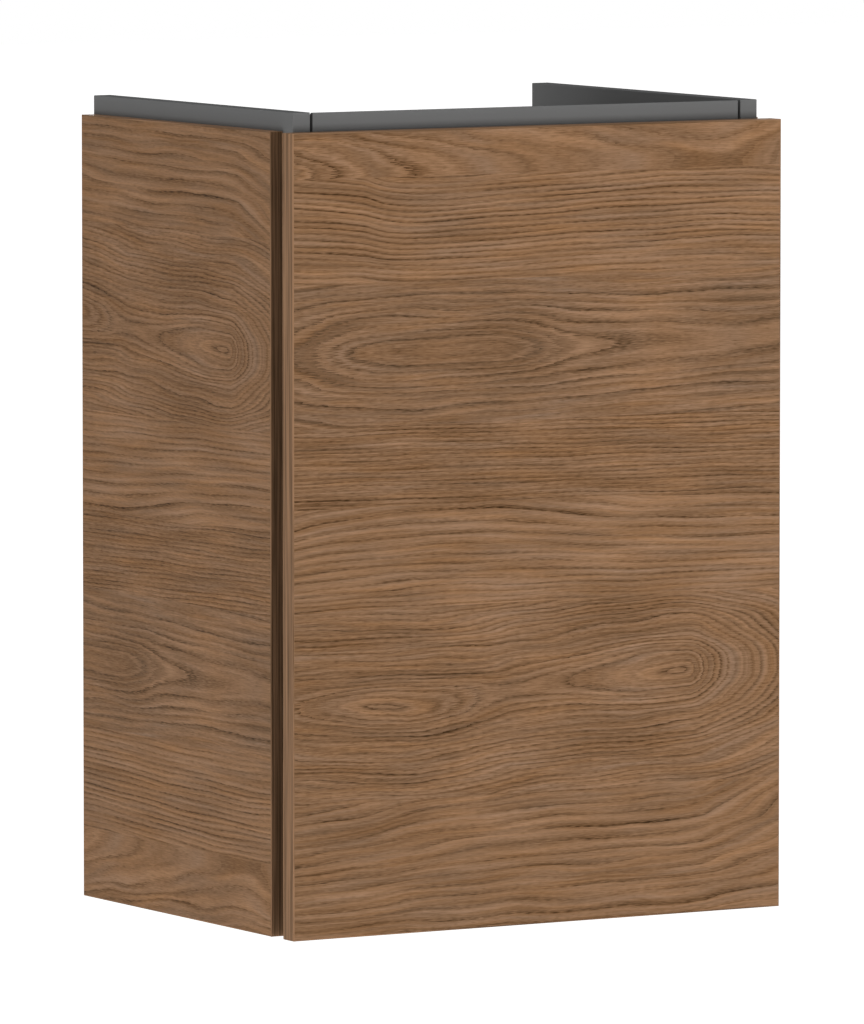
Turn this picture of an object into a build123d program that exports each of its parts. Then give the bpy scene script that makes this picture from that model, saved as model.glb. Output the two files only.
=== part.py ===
from build123d import *
import math
import os

# Wall-hung cabinet that stands under a washbasin, with one hinged door.
# Lengths in millimetres. X right, Y back to the wall, Z up.
# The wall is the plane Y = 0, and heights are counted from the cabinet's underside
# until the pieces are saved: the origin is then halfway between the two wall bolts.

# Overall sizes
cabinet_width = 434.0
cabinet_depth = 332.0
cladding_height = 612.0        # decor panels and door, bottom to top
frame_rise = 14.7              # inner carcass above the decor panels
fixing_drop = 73.7             # wall bolts below the carcass's top

# Boards
door_thickness = 16.0
carcass_board = 15.0
cladding_board = 10.7
band_thickness = 1.0
band_round = 0.5               # rounding of the bands' outer edges
board_round = 0.5              # rounding of the carcass's showing edges

# Gaps around the door
door_gap = 2.4                 # back of the door to the carcass
groove_width = 17.8            # back of the door to the cladding, the finger groove

# Front rail
front_rail_height = 72.0
front_rail_drop = 0.4          # its top below the carcass sides' tops
rail_top_flat = 3.0            # flat left in front of the bevel
rail_end_gap = 2.2             # shadow gap at each end of its upper part
rail_end_gap_height = 22.0

# Back
rear_rail_height = 60.0
rear_rail_bottom = 300.0
panel_thickness = 8.0
panel_inset = 4.0              # back panel to the wall
panel_groove_depth = 5.0
panel_clearance = 0.15         # back panel to each wall and to the foot of its groove

# Shelf
shelf_thickness = 5.0
shelf_top = 290.0
shelf_front_inset = 24.0       # shelf to the carcass's front edge
shelf_back_gap = 45.6          # shelf to the back panel, room for the pipes
shelf_side_clearance = 0.8
shelf_corner = 3.0
shelf_bevel = 0.6
support_pin_radius = 2.5
support_pin_depth = 8.0
support_inset = 38.0           # supports from the shelf's front and rear edges
support_reach = 14.0
support_width = 8.0
support_thickness = 3.0
support_plate = 1.5
support_plate_height = 9.0

# Door hinges, placed from the door's hinge edge, and from the door's back towards the front
hinge_from_end = 90.0          # hinges from the door's lower and upper edges
opening_angle = 105.0
link_share = 0.43              # turn of the link for each degree that the door opens
arm_pivot = (44.0, -6.4)
cup_pivot = (15.6, 2.5)        # with the door closed
link_elbow = (23.5, 6.6)
link_elbow_radius = 9.0
link_width = 4.2
link_height = 10.0
eye_radius = 2.6
pivot_pin_radius = 1.25
running_clearance = 0.05       # link on its pins
seat_clearance = 0.02          # pins in the arm and in the cup
cup_centre = 25.0
cup_radius = 17.4
cup_wall = 1.4
cup_depth = 12.2
cup_floor = 1.0
cup_flange_thickness = 1.2
cup_flange_radius = 18.7
cup_wing_length = 56.0
cup_wing_width = 13.0
wing_corner = 4.4
cup_wing_offset = 9.5          # line of the cup's screws inwards of its centre
cup_screw_spacing = 45.0
cup_pin_seat = 0.7             # how far each end of the cup's pin reaches into its wall
bore_clearance = 0.1           # cup in the door
arm_tip_radius = 3.0
arm_cheek = 1.5
arm_cheek_clearance = 0.2      # beside the link and beside the mounting block
arm_web = 1.5
arm_back = -66.0
arm_web_front = -12.0
arm_foot = 31.0                # cheeks stop this far from the door's hinge edge
arm_foot_front = -32.0
plate_thickness = 2.0
plate_wing_length = 46.0
plate_wing_width = 14.0
plate_screw_back = 39.4        # plate's screws behind the door's back
plate_screw_spacing = 32.0
plate_block_front = -24.0
plate_block_back = -64.0

# Door bumpers
bumper_radius = 4.0
bumper_relief = 0.2            # bumper to the carcass with the door closed
bumper_round = 0.6
bumper_from_end = 30.0

# Wall brackets
bracket_thickness = 2.0
bracket_height = 66.0
bracket_side_length = 62.0
bracket_wall_length = 42.0
bracket_corner = 6.0
bracket_hole_radius = 4.25
bracket_hole_inset = 20.0      # wall bolt to the carcass side
bracket_screw_places = (22.0, 46.0)

# Fasteners
screw_clearance = 0.05
screw_tip = 1.5
screw_tip_share = 0.33         # tip's end radius as a share of the screw's
head_height = 1.8
head_radius = 3.4
screw_radius = 1.75
recess_length = 3.6
recess_width = 0.8
recess_depth = 1.0
cup_screw_length = 13.0
plate_screw_length = 13.0
bracket_screw_length = 13.0
cladding_screw_length = 21.0
cladding_screw_back = 75.0     # from the wall
cladding_screw_front = 83.2    # from the cladding's front edge
cladding_screw_low = 60.0
cladding_screw_middle = 240.0
cladding_screw_drop = 132.0    # highest screws below the cladding's top
arm_screw_radius = 2.5
arm_screw_head_radius = 4.2
arm_screw_length = 9.0
dowel_radius = 4.0
dowel_in_side = 9.0
dowel_in_end = 20.0
dowel_clearance = 0.05
dowel_round = 0.8
bottom_dowel_back = 90.0       # from the wall
bottom_dowel_front = 83.6      # from the carcass's front edge
cam_radius = 7.4
cam_height = 12.4
cam_clearance = 0.1
cam_reach = 24.0               # cam's centre to the carcass side
cam_recess_length = 7.2
cam_recess_width = 1.6
cam_recess_depth = 1.0
bolt_radius = 2.9
bolt_in_side = 10.0
bolt_neck_radius = 2.0
bolt_neck_length = 7.0
bolt_head_length = 2.6
bolt_past_cam_centre = -2.0
bottom_cam_back = 40.0
bottom_cam_front = 33.6
front_rail_dowel_drop = 58.0   # below the rail's top
front_rail_cam_drop = 38.0
rear_rail_dowel_rise = 18.0    # above the rail's underside
rear_rail_cam_rise = 42.0

# Modelling allowances
cut_overrun = 1.0              # how far a cut runs past the face that it opens
tolerance = 1e-6

# Places worked out from the sizes
outer_x = cabinet_width / 2
carcass_x = outer_x - cladding_board
inner_x = carcass_x - carcass_board
door_front_y = -cabinet_depth
door_back_y = door_front_y + door_thickness
carcass_front_y = door_back_y + door_gap
cladding_front_y = door_back_y + groove_width
frame_top = cladding_height + frame_rise
fixing_height = frame_top - fixing_drop
rail_top = frame_top - front_rail_drop
rail_back_y = carcass_front_y + carcass_board
rail_bottom = rail_top - front_rail_height
panel_back_y = -panel_inset
panel_front_y = panel_back_y - panel_thickness
shelf_bottom = shelf_top - shelf_thickness
shelf_front_y = carcass_front_y + shelf_front_inset
shelf_back_y = panel_front_y - shelf_back_gap
support_places = (shelf_front_y + support_inset, shelf_back_y - support_inset)
bottom_middle = carcass_board / 2
rail_middle_y = carcass_front_y + carcass_board / 2
rear_rail_middle_y = -carcass_board / 2
hinge_heights = (hinge_from_end, cladding_height - hinge_from_end)
cladding_screw_places = (-cladding_screw_back, cladding_front_y + cladding_screw_front)
cladding_screw_heights = (cladding_screw_low, cladding_screw_middle, cladding_height - cladding_screw_drop)
bottom_dowel_places = (-bottom_dowel_back, carcass_front_y + bottom_dowel_front)
bottom_cam_places = (-bottom_cam_back, carcass_front_y + bottom_cam_front)
arm_top = arm_pivot[0] + arm_tip_radius
side_face = cladding_board + carcass_board     # carcass side's inner face from the hinge edge


def block(x, y, z):
    """Box between two X, two Y and two Z values."""
    return Pos(*[(a + b) / 2 for a, b in (x, y, z)]) * Box(*[abs(b - a) for a, b in (x, y, z)])


standing = (Align.CENTER, Align.CENTER, Align.MIN)


def rod(radius, start, end):
    """Cylinder from one point to another."""
    start, end = Vector(*start), Vector(*end)
    return Plane(origin=start, z_dir=end - start) * Cylinder(radius, (end - start).length, align=standing)


def other_side(shape):
    """The same piece for the opposite side of the cabinet."""
    return mirror(shape, about=Plane.YZ)


def group(shapes):
    """Several separate solids saved as one node."""
    return Compound([solid for shape in shapes for solid in shape.solids()])


def at_hinge(inwards, forwards):
    """X and Y of a point given from the door's hinge edge and from the door's back."""
    return outer_x - inwards, door_back_y - forwards


def outer_edges(shape, axis, value):
    """Edges that lie on one plane across an axis."""
    pick = {Axis.X: lambda p: p.X, Axis.Y: lambda p: p.Y, Axis.Z: lambda p: p.Z}[axis]

    def lies_on(edge):
        return all(abs(pick(edge.position_at(t)) - value) < tolerance for t in (0, 0.5, 1))

    return [edge for edge in shape.edges() if lies_on(edge)]


# Fasteners, each made along +Z with its head's top at the origin

def screw_body(length, radius, wide, extra):
    head = Cone(wide + extra, radius + extra, head_height, align=standing)
    shank = Cylinder(radius + extra, length - screw_tip + extra, align=standing)
    tip = Cone(radius + extra, radius * screw_tip_share + extra, screw_tip, align=standing)
    return head + shank + Pos(0, 0, length - screw_tip + extra) * tip


def screw(length, radius=screw_radius, wide=head_radius):
    arm = Box(recess_length, recess_width, 2 * recess_depth)
    return screw_body(length, radius, wide, 0.0) - arm - Rot(0, 0, 90) * arm


def screw_hole(length, radius=screw_radius, wide=head_radius):
    return screw_body(length, radius, wide, screw_clearance)


def aim(shape, point, direction):
    return Plane(origin=point, z_dir=direction) * shape


def cladding_screw_spots():
    return [((-inner_x, y, height), (-1, 0, 0))
            for y in cladding_screw_places for height in cladding_screw_heights]


def bracket_screw_spots():
    x = -inner_x + bracket_thickness
    return [((x, -back, fixing_height), (-1, 0, 0)) for back in bracket_screw_places]


def plate_screw_spots():
    x, y = at_hinge(side_face + plate_thickness, -plate_screw_back)
    return [((x, y, height + side * plate_screw_spacing / 2), (1, 0, 0))
            for height in hinge_heights for side in (-1, 1)]


def cup_screw_spots():
    x, y = at_hinge(cup_centre + cup_wing_offset, -cup_flange_thickness)
    return [((x, y, height + side * cup_screw_spacing / 2), (0, -1, 0))
            for height in hinge_heights for side in (-1, 1)]


def arm_screw(make):
    return make(arm_screw_length, arm_screw_radius, arm_screw_head_radius)


def arm_screw_spots():
    x, y = at_hinge(arm_top, (plate_block_front + plate_block_back) / 2)
    return [((x, y, height), (1, 0, 0)) for height in hinge_heights]


# Joinery on the left side, mirrored for the right

def dowel_lines():
    """Y and Z of each dowel between a carcass side and the boards that butt against it."""
    lines = [(y, bottom_middle) for y in bottom_dowel_places]
    lines.append((rail_middle_y, rail_top - front_rail_dowel_drop))
    lines.append((rear_rail_middle_y, rear_rail_bottom + rear_rail_dowel_rise))
    return lines


def cam_spots():
    """Bolt's Y and Z, the point where the cam's open face lies, and the way that the cam goes in."""
    x = -inner_x + cam_reach
    spots = [((y, bottom_middle), (x, y, 0), (0, 0, 1)) for y in bottom_cam_places]
    z = rail_top - front_rail_cam_drop
    spots.append(((rail_middle_y, z), (x, rail_back_y, z), (0, -1, 0)))
    z = rear_rail_bottom + rear_rail_cam_rise
    spots.append(((rear_rail_middle_y, z), (x, -carcass_board, z), (0, 1, 0)))
    return spots


def dowel(y, z, extra=0.0):
    start = (-inner_x - dowel_in_side - extra, y, z)
    end = (-inner_x + dowel_in_end + extra, y, z)
    body = rod(dowel_radius + extra, start, end)
    return body if extra else fillet(body.edges(), dowel_round)


def bolt_bore(y, z):
    start = (-inner_x - bolt_in_side - cam_clearance, y, z)
    end = (-inner_x + cam_reach + bolt_past_cam_centre + cam_clearance, y, z)
    return rod(bolt_radius + cam_clearance, start, end)


def cam_bolt(y, z):
    end = -inner_x + cam_reach + bolt_past_cam_centre
    neck = (end - bolt_head_length - bolt_neck_length, end - bolt_head_length)
    shank = rod(bolt_radius, (-inner_x - bolt_in_side, y, z), (neck[0], y, z))
    head = rod(bolt_radius, (neck[1], y, z), (end, y, z))
    return shank + rod(bolt_neck_radius, (neck[0], y, z), (neck[1], y, z)) + head


def cam_bore(face, direction, extra=0.0):
    end = Vector(*face) + Vector(*direction) * (cam_height + extra)
    return rod(cam_radius + extra, face, (end.X, end.Y, end.Z))


def cam_housing(line, face, direction):
    arm = Box(cam_recess_length, cam_recess_width, 2 * cam_recess_depth)
    cross = aim(arm + Rot(0, 0, 90) * arm, face, direction)
    return cam_bore(face, direction) - bolt_bore(*line) - cross


def joint_holes():
    """Everything that the joinery cuts out of the boards at the left end."""
    holes = [dowel(y, z, dowel_clearance) for y, z in dowel_lines()]
    for line, face, direction in cam_spots():
        holes += [bolt_bore(*line), cam_bore(face, direction, cam_clearance)]
    return holes


def both_ends(shapes):
    return shapes + [other_side(shape) for shape in shapes]


# Carcass

def carcass_side():
    side = block((-carcass_x, -inner_x), (carcass_front_y, 0), (0, frame_top))
    upright = [e for e in outer_edges(side, Axis.Y, carcass_front_y) if abs(e.length - frame_top) < tolerance]
    side = fillet(outer_edges(side, Axis.Z, frame_top) + upright, board_round)
    groove_y = (panel_front_y - panel_clearance, panel_back_y + panel_clearance)
    groove_z = (carcass_board - panel_groove_depth, rear_rail_bottom + panel_groove_depth)
    side -= block((-inner_x - panel_groove_depth, -inner_x + cut_overrun), groove_y, groove_z)
    for y in support_places:
        side -= support_pin(y, screw_clearance)
    for hole in joint_holes():
        side -= hole
    for point, direction in cladding_screw_spots():
        side -= aim(screw_hole(cladding_screw_length), point, direction)
    return side


def left_carcass_side():
    side = carcass_side()
    for point, direction in bracket_screw_spots():
        side -= aim(screw_hole(bracket_screw_length), point, direction)
    return side


def right_carcass_side():
    side = other_side(left_carcass_side())
    for point, direction in plate_screw_spots():
        side -= aim(screw_hole(plate_screw_length), point, direction)
    return side


def carcass_bottom():
    board = block((-inner_x, inner_x), (carcass_front_y, 0), (0, carcass_board))
    groove_y = (panel_front_y - panel_clearance, panel_back_y + panel_clearance)
    groove_z = (carcass_board - panel_groove_depth, carcass_board + cut_overrun)
    board -= block((-inner_x, inner_x), groove_y, groove_z)
    for hole in both_ends(joint_holes()):
        board -= hole
    return board


def front_rail():
    bevel = carcass_board - rail_top_flat
    section = Polyline((carcass_front_y, rail_bottom), (rail_back_y, rail_bottom),
                       (rail_back_y, rail_top - bevel), (carcass_front_y + rail_top_flat, rail_top),
                       (carcass_front_y, rail_top), close=True)
    plane = Plane(origin=(-inner_x, 0, 0), x_dir=(0, 1, 0), z_dir=(1, 0, 0))
    rail = extrude(plane * make_face(section), 2 * inner_x)
    for side in (-1, 1):
        x = (side * (inner_x - rail_end_gap), side * (inner_x + cut_overrun))
        y = (carcass_front_y - cut_overrun, rail_back_y + cut_overrun)
        rail -= block(x, y, (rail_top - rail_end_gap_height, rail_top + cut_overrun))
    for hole in both_ends(joint_holes()):
        rail -= hole
    return rail


def rear_rail():
    rail = block((-inner_x, inner_x), (-carcass_board, 0),
                 (rear_rail_bottom, rear_rail_bottom + rear_rail_height))
    groove_y = (panel_front_y - panel_clearance, panel_back_y + panel_clearance)
    groove_z = (rear_rail_bottom - cut_overrun, rear_rail_bottom + panel_groove_depth)
    rail -= block((-inner_x, inner_x), groove_y, groove_z)
    for hole in both_ends(joint_holes()):
        rail -= hole
    return rail


def back_panel():
    reach = panel_groove_depth - panel_clearance
    return block((-inner_x - reach, inner_x + reach), (panel_front_y, panel_back_y),
                 (carcass_board - reach, rear_rail_bottom + reach))


# Decor panels

def cladding():
    core = block((-outer_x, -carcass_x), (cladding_front_y + band_thickness, 0),
                 (band_thickness, cladding_height - band_thickness))
    for point, direction in cladding_screw_spots():
        core -= aim(screw_hole(cladding_screw_length), point, direction)
    return core


def cladding_bands():
    front = block((-outer_x, -carcass_x), (cladding_front_y, cladding_front_y + band_thickness),
                  (0, cladding_height))
    front = fillet(outer_edges(front, Axis.Y, cladding_front_y), band_round)
    bands = [front]
    for low, level in ((0, 0), (cladding_height - band_thickness, cladding_height)):
        band = block((-outer_x, -carcass_x), (cladding_front_y + band_thickness, 0),
                     (low, low + band_thickness))
        long_edge = [e for e in outer_edges(band, Axis.Z, level) if abs(e.center().X + outer_x) < tolerance]
        bands.append(fillet(long_edge, band_round))
    return group(bands)


def door_panel():
    core = block((-outer_x + band_thickness, outer_x - band_thickness), (door_front_y, door_back_y),
                 (band_thickness, cladding_height - band_thickness))
    for height in hinge_heights:
        x, y = at_hinge(cup_centre, 0)
        core -= rod(cup_radius + bore_clearance, (x, y, height), (x, y - cup_depth - bore_clearance, height))
    for point, direction in cup_screw_spots():
        core -= aim(screw_hole(cup_screw_length), point, direction)
    return core


def door_edge_bands():
    bands = []
    for side in (-1, 1):
        band = block((side * (outer_x - band_thickness), side * outer_x), (door_front_y, door_back_y),
                     (0, cladding_height))
        bands.append(fillet(outer_edges(band, Axis.X, side * outer_x), band_round))
    for low, level in ((0, 0), (cladding_height - band_thickness, cladding_height)):
        band = block((-outer_x + band_thickness, outer_x - band_thickness), (door_front_y, door_back_y),
                     (low, low + band_thickness))
        long_edges = [e for e in outer_edges(band, Axis.Z, level) if e.length > door_thickness + tolerance]
        bands.append(fillet(long_edges, band_round))
    return group(bands)


def door_bumper(height):
    x = -(carcass_x + inner_x) / 2
    body = rod(bumper_radius, (x, door_back_y, height), (x, carcass_front_y - bumper_relief, height))
    return fillet(outer_edges(body, Axis.Y, carcass_front_y - bumper_relief), bumper_round)


# Shelf

def glass_shelf():
    half = inner_x - shelf_side_clearance
    pane = block((-half, half), (shelf_front_y, shelf_back_y), (shelf_bottom, shelf_top))
    pane = fillet(pane.edges().filter_by(Axis.Z), shelf_corner)
    rims = outer_edges(pane, Axis.Z, shelf_bottom) + outer_edges(pane, Axis.Z, shelf_top)
    return chamfer(rims, shelf_bevel)


def support_pin(y, extra=0.0):
    z = shelf_bottom - support_pin_radius
    start, end = (-inner_x - support_pin_depth - extra, y, z), (-inner_x + extra, y, z)
    return rod(support_pin_radius + extra, start, end)


def shelf_support(y):
    across = (y - support_width / 2, y + support_width / 2)
    tongue = block((-inner_x, -inner_x + support_reach), across,
                   (shelf_bottom - support_thickness, shelf_bottom))
    plate = block((-inner_x, -inner_x + support_plate), across,
                  (shelf_bottom - support_plate_height, shelf_bottom))
    return support_pin(y) + tongue + plate


# Hinges, each made about its own height

def hinge_link(height):
    middle = FilletPolyline(at_hinge(*cup_pivot), at_hinge(*link_elbow), at_hinge(*arm_pivot),
                            radius=link_elbow_radius)
    bar = trace(middle, line_width=link_width)
    for pivot in (cup_pivot, arm_pivot):
        bar += Pos(*at_hinge(*pivot)) * Circle(eye_radius)
    for pivot in (cup_pivot, arm_pivot):
        bar -= Pos(*at_hinge(*pivot)) * Circle(pivot_pin_radius + running_clearance)
    return Pos(0, 0, height - link_height / 2) * extrude(bar, link_height, dir=(0, 0, 1))


def cup_pin(height, extra=0.0):
    x, y = at_hinge(*cup_pivot)
    inside = cup_radius - cup_wall
    half = math.sqrt(inside ** 2 - (cup_centre - cup_pivot[0]) ** 2) + cup_pin_seat + extra
    return rod(pivot_pin_radius + extra, (x, y, height - half), (x, y, height + half))


def hinge_cup(height):
    x, y = at_hinge(cup_centre, 0)
    top = y + cup_flange_thickness
    cup = rod(cup_radius, (x, y, height), (x, y - cup_depth, height))
    cup += rod(cup_flange_radius, (x, top, height), (x, y, height))
    wing_x = x - cup_wing_offset
    wings = block((wing_x - cup_wing_width / 2, wing_x + cup_wing_width / 2), (y, top),
                  (height - cup_wing_length / 2, height + cup_wing_length / 2))
    cup += fillet(wings.edges().filter_by(Axis.Y), wing_corner)
    cup -= rod(cup_radius - cup_wall, (x, top, height), (x, y - cup_depth + cup_floor, height))
    cup -= cup_pin(height, seat_clearance)
    for point, direction in cup_screw_spots():
        cup -= aim(screw_hole(cup_screw_length), point, direction)
    return cup


def arm_half_gap():
    return link_height / 2 + arm_cheek_clearance


def arm_pin(height, extra=0.0):
    x, y = at_hinge(*arm_pivot)
    half = arm_half_gap() + arm_cheek + extra
    return rod(pivot_pin_radius + extra, (x, y, height - half), (x, y, height + half))


def hinge_arm(height):
    tip_u, tip_v = arm_pivot
    low = tip_u - arm_tip_radius
    outline = Polyline(at_hinge(arm_top, tip_v), at_hinge(arm_top, arm_back), at_hinge(arm_foot, arm_back),
                       at_hinge(arm_foot, arm_foot_front), at_hinge(low, arm_web_front),
                       at_hinge(low, tip_v), close=True)
    cheek = make_face(outline) + Pos(*at_hinge(tip_u, tip_v)) * Circle(arm_tip_radius)
    arm = Part()
    for base in (height - arm_half_gap() - arm_cheek, height + arm_half_gap()):
        arm += Pos(0, 0, base) * extrude(cheek, arm_cheek, dir=(0, 0, 1))
    web_top, web_front = at_hinge(arm_top, arm_web_front)
    web_low, web_back = at_hinge(arm_top - arm_web, arm_back)
    arm += block((web_top, web_low), (web_front, web_back),
                 (height - arm_half_gap(), height + arm_half_gap()))
    arm -= arm_pin(height, seat_clearance)
    for point, direction in arm_screw_spots():
        arm -= aim(arm_screw(screw_hole), point, direction)
    return arm


def mounting_plate(height):
    face, block_front = at_hinge(side_face, plate_block_front)
    block_top, block_back = at_hinge(arm_top - arm_web, plate_block_back)
    half = arm_half_gap() - arm_cheek_clearance
    plate = block((block_top, face), (block_front, block_back), (height - half, height + half))
    wing_top, wing_middle = at_hinge(side_face + plate_thickness, -plate_screw_back)
    wings = block((wing_top, face), (wing_middle - plate_wing_width / 2, wing_middle + plate_wing_width / 2),
                  (height - plate_wing_length / 2, height + plate_wing_length / 2))
    plate += fillet(wings.edges().filter_by(Axis.X), wing_corner)
    for point, direction in plate_screw_spots():
        plate -= aim(screw_hole(plate_screw_length), point, direction)
    for point, direction in arm_screw_spots():
        plate -= aim(arm_screw(screw_hole), point, direction)
    return plate


# Wall brackets

def hanging_bracket():
    low, high = fixing_height - bracket_height / 2, fixing_height + bracket_height / 2
    side = block((-inner_x, -inner_x + bracket_thickness), (-bracket_side_length, 0), (low, high))
    ends = [e for e in side.edges().filter_by(Axis.X) if abs(e.center().Y + bracket_side_length) < tolerance]
    side = fillet(ends, bracket_corner)
    wall = block((-inner_x, -inner_x + bracket_wall_length), (-bracket_thickness, 0), (low, high))
    end_x = -inner_x + bracket_wall_length
    ends = [e for e in wall.edges().filter_by(Axis.Y) if abs(e.center().X - end_x) < tolerance]
    bracket = side + fillet(ends, bracket_corner)
    hole_x = -inner_x + bracket_hole_inset
    start, end = (hole_x, -bracket_thickness - cut_overrun, fixing_height), (hole_x, cut_overrun, fixing_height)
    bracket -= rod(bracket_hole_radius, start, end)
    for point, direction in bracket_screw_spots():
        bracket -= aim(screw_hole(bracket_screw_length), point, direction)
    return bracket


def screws(spots, length):
    return [aim(screw(length), point, direction) for point, direction in spots]


pieces = {
    "left_carcass_side": left_carcass_side(),
    "right_carcass_side": right_carcass_side(),
    "carcass_bottom": carcass_bottom(),
    "front_rail": front_rail(),
    "rear_rail": rear_rail(),
    "back_panel": back_panel(),
    "left_cladding": cladding(),
    "right_cladding": other_side(cladding()),
    "left_cladding_bands": cladding_bands(),
    "right_cladding_bands": other_side(cladding_bands()),
    "door_panel": door_panel(),
    "door_edge_bands": door_edge_bands(),
    "door_bumpers": group([door_bumper(z) for z in (bumper_from_end, cladding_height - bumper_from_end)]),
    "glass_shelf": glass_shelf(),
    "shelf_supports": group(both_ends([shelf_support(y) for y in support_places])),
    "left_hanging_bracket": hanging_bracket(),
    "right_hanging_bracket": other_side(hanging_bracket()),
    "bracket_screws": group(both_ends(screws(bracket_screw_spots(), bracket_screw_length))),
    "cladding_screws": group(both_ends(screws(cladding_screw_spots(), cladding_screw_length))),
    "joint_dowels": group(both_ends([dowel(y, z) for y, z in dowel_lines()])),
    "cam_bolts": group(both_ends([cam_bolt(*line) for line, face, way in cam_spots()])),
    "cam_housings": group(both_ends([cam_housing(*spot) for spot in cam_spots()])),
    "hinge_mounting_plates": group([mounting_plate(z) for z in hinge_heights]),
    "hinge_plate_screws": group(screws(plate_screw_spots(), plate_screw_length)),
    "hinge_arms": group([hinge_arm(z) for z in hinge_heights]),
    "hinge_arm_screws": group([aim(arm_screw(screw), point, way) for point, way in arm_screw_spots()]),
    "hinge_arm_pins": group([arm_pin(z) for z in hinge_heights]),
    "hinge_links": group([hinge_link(z) for z in hinge_heights]),
    "hinge_cups": group([hinge_cup(z) for z in hinge_heights]),
    "hinge_cup_pins": group([cup_pin(z) for z in hinge_heights]),
    "hinge_cup_screws": group(screws(cup_screw_spots(), cup_screw_length)),
}

os.makedirs("parts", exist_ok=True)
for name, shape in pieces.items():
    export_step(Pos(0, 0, -fixing_height) * shape, f"parts/{name}.step")
print("door joint's range", round(opening_angle * (1 + link_share), 3))
print("link joint's range", round(opening_angle * link_share, 3))
print("link's turn for each degree of the door joint", round(link_share / (1 + link_share), 6))
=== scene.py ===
import math

import bpy
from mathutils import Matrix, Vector


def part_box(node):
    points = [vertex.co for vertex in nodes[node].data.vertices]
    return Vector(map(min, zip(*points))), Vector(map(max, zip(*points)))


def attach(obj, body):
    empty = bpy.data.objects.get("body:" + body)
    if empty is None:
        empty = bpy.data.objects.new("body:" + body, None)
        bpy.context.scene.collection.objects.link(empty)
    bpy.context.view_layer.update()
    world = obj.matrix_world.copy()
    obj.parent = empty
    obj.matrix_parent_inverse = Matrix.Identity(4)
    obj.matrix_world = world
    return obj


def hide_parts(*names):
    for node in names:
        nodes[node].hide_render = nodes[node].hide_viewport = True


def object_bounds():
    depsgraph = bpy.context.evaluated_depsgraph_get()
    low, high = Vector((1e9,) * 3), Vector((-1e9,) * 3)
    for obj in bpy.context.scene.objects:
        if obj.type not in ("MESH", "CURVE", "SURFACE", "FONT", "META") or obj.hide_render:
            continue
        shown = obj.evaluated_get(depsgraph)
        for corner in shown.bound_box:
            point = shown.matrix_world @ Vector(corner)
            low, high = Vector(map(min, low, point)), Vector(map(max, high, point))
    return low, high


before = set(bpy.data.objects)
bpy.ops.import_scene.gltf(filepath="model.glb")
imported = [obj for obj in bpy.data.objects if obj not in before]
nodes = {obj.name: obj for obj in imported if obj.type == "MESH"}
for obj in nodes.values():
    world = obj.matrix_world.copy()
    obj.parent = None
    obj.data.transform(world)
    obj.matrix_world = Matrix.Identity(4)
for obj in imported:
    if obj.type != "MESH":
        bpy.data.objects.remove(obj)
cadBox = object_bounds()
mm = 0.001
print("frame loaded:", len(nodes), "nodes")

# Camera, lamps and floor

cameraPlace = {
    "place": (-4.25356, -7.43084, 0.48881),
    "yaw": 30.3591,        # degrees to the right of straight at the wall
    "pitch": 5.0061,       # degrees downwards
    "lens": 382.063,       # millimetres, as the sensor's width is
    "sensor": 36.0,
    "clip": (0.1, 200.0),
}
studio = {
    "worldLevel": 0.28,         # soft fill from all round
    # each lamp: yaw in degrees from the door's front towards the left side, degrees above the horizon,
    # distance from the cabinet's middle, width and height, watts
    "frontBox": (-8, -4.4, 4.5, (2.4, 1.6), 113),
    "sideBox": (97, -5, 4.0, (2.0, 2.0), 66),
    "topBox": (20, 70, 4.0, (2.0, 2.0), 36),
    "backBox": (200, 4, 4.0, (2.0, 2.0), 60),
    "floorDrop": 1.35,          # floor below the cabinet's underside
    "floorSize": 80.0,
    "floorColour": (0.86, 0.86, 0.85, 1.0),
    "floorRoughness": 0.9,
    "floorSpecular": 0.1,
    "floorGlow": 0.85,          # for the eye alone, so that the floor looks as white as the background
}


def makeCamera():
    data = bpy.data.cameras.new("photoCamera")
    data.lens = cameraPlace["lens"]
    data.sensor_width = cameraPlace["sensor"]
    data.clip_start, data.clip_end = cameraPlace["clip"]
    camera = bpy.data.objects.new("photoCamera", data)
    camera.location = cameraPlace["place"]
    tilt, turn = math.radians(90 - cameraPlace["pitch"]), math.radians(-cameraPlace["yaw"])
    camera.rotation_euler = (tilt, 0, turn)
    bpy.context.scene.collection.objects.link(camera)
    bpy.context.scene.camera = camera


# 1 for what the eye sees, straight on or in a mirror or a pane
def seenByEye(tree):
    path = tree.nodes.new("ShaderNodeLightPath")
    seen = path.outputs["Is Camera Ray"]
    for ray in ("Is Glossy Ray", "Is Transmission Ray"):
        either = tree.nodes.new("ShaderNodeMath")
        either.operation = "MAXIMUM"
        tree.links.new(seen, either.inputs[0])
        tree.links.new(path.outputs[ray], either.inputs[1])
        seen = either.outputs[0]
    return seen


def makeWorld():
    world = bpy.data.worlds.new("studioWorld")
    world.use_nodes = True
    bpy.context.scene.world = world
    tree = world.node_tree
    background = tree.nodes["Background"]
    background.inputs["Color"].default_value = (1, 1, 1, 1)
    level = tree.nodes.new("ShaderNodeMapRange")     # soft fill for the object, white for the eye
    level.inputs["To Min"].default_value = studio["worldLevel"]
    level.inputs["To Max"].default_value = 1.0
    tree.links.new(seenByEye(tree), level.inputs["Value"])
    tree.links.new(level.outputs["Result"], background.inputs["Strength"])


def makeLamp(name, yaw, height, distance, size, power):
    data = bpy.data.lights.new(name, "AREA")
    data.shape = "RECTANGLE"
    data.size, data.size_y = size
    data.energy = power
    lamp = bpy.data.objects.new(name, data)
    a, e = math.radians(yaw), math.radians(height)
    away = Vector((-math.sin(a) * math.cos(e), -math.cos(a) * math.cos(e), math.sin(e)))
    lamp.location = (cadBox[0] + cadBox[1]) / 2 + away * distance
    lamp.rotation_mode = "QUATERNION"
    lamp.rotation_quaternion = away.to_track_quat("Z", "Y")
    bpy.context.scene.collection.objects.link(lamp)


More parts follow.
